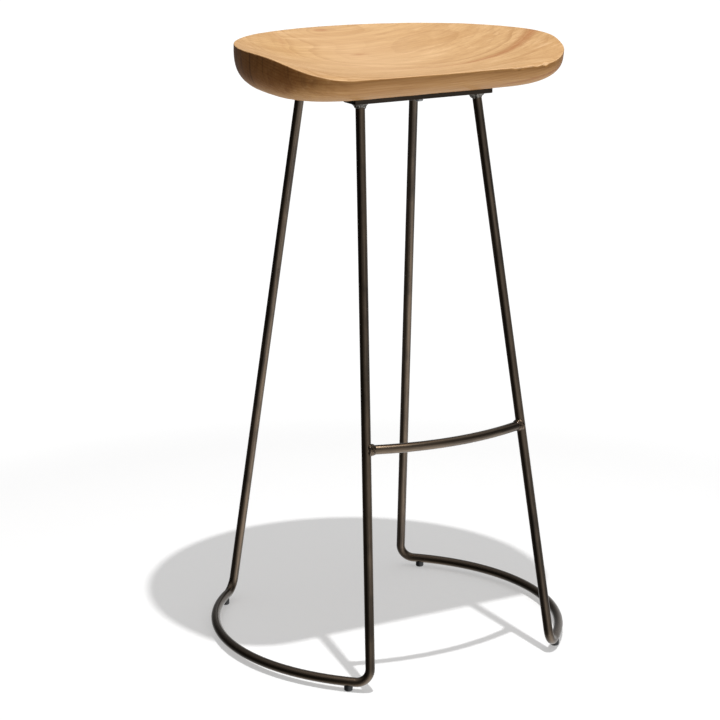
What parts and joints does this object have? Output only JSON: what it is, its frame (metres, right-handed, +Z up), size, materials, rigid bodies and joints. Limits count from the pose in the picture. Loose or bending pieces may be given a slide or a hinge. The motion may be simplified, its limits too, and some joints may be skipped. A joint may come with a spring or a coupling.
{
  "type": "bar stool",
  "caption": "Bar stool with a dished wooden seat on bent steel rod side frames with bowed floor runners, and a bowed footrest between the front legs.",
  "frame": {"origin": "on the floor, under the middle of the frame's bounding box", "axes": "+X to the right as seen from the front, the front faces -Y, +Z up"},
  "size_m": [0.4672, 0.3924, 0.7888],
  "materials": {
    "seat_wood": "natural oiled satin, grain from side to side",
    "frame_steel": "dark bronze-black lacquer over raw steel, semi-gloss, faint draw marks",
    "weld_bead": "lacquered raw weld, lumpy, a little greyer than the rod",
    "glide_plastic": "black moulded plastic",
    "zinc_steel": "zinc-plated steel"
  },
  "bodies": {
    "root": {"seat": "seat_wood", "left_side_frame": "frame_steel", "right_side_frame": "frame_steel", "footrest": "frame_steel", "front_seat_bar": "frame_steel", "rear_seat_bar": "frame_steel", "front_left_leg_weld": "weld_bead", "front_right_leg_weld": "weld_bead", "rear_left_leg_weld": "weld_bead", "rear_right_leg_weld": "weld_bead", "footrest_left_weld": "weld_bead", "footrest_right_weld": "weld_bead", "front_left_glide": "glide_plastic", "front_right_glide": "glide_plastic", "rear_left_glide": "glide_plastic", "rear_right_glide": "glide_plastic", "front_seat_screw": "zinc_steel", "rear_seat_screw": "zinc_steel", "front_seat_washer": "zinc_steel", "rear_seat_washer": "zinc_steel"}
  },
  "joints": []
}
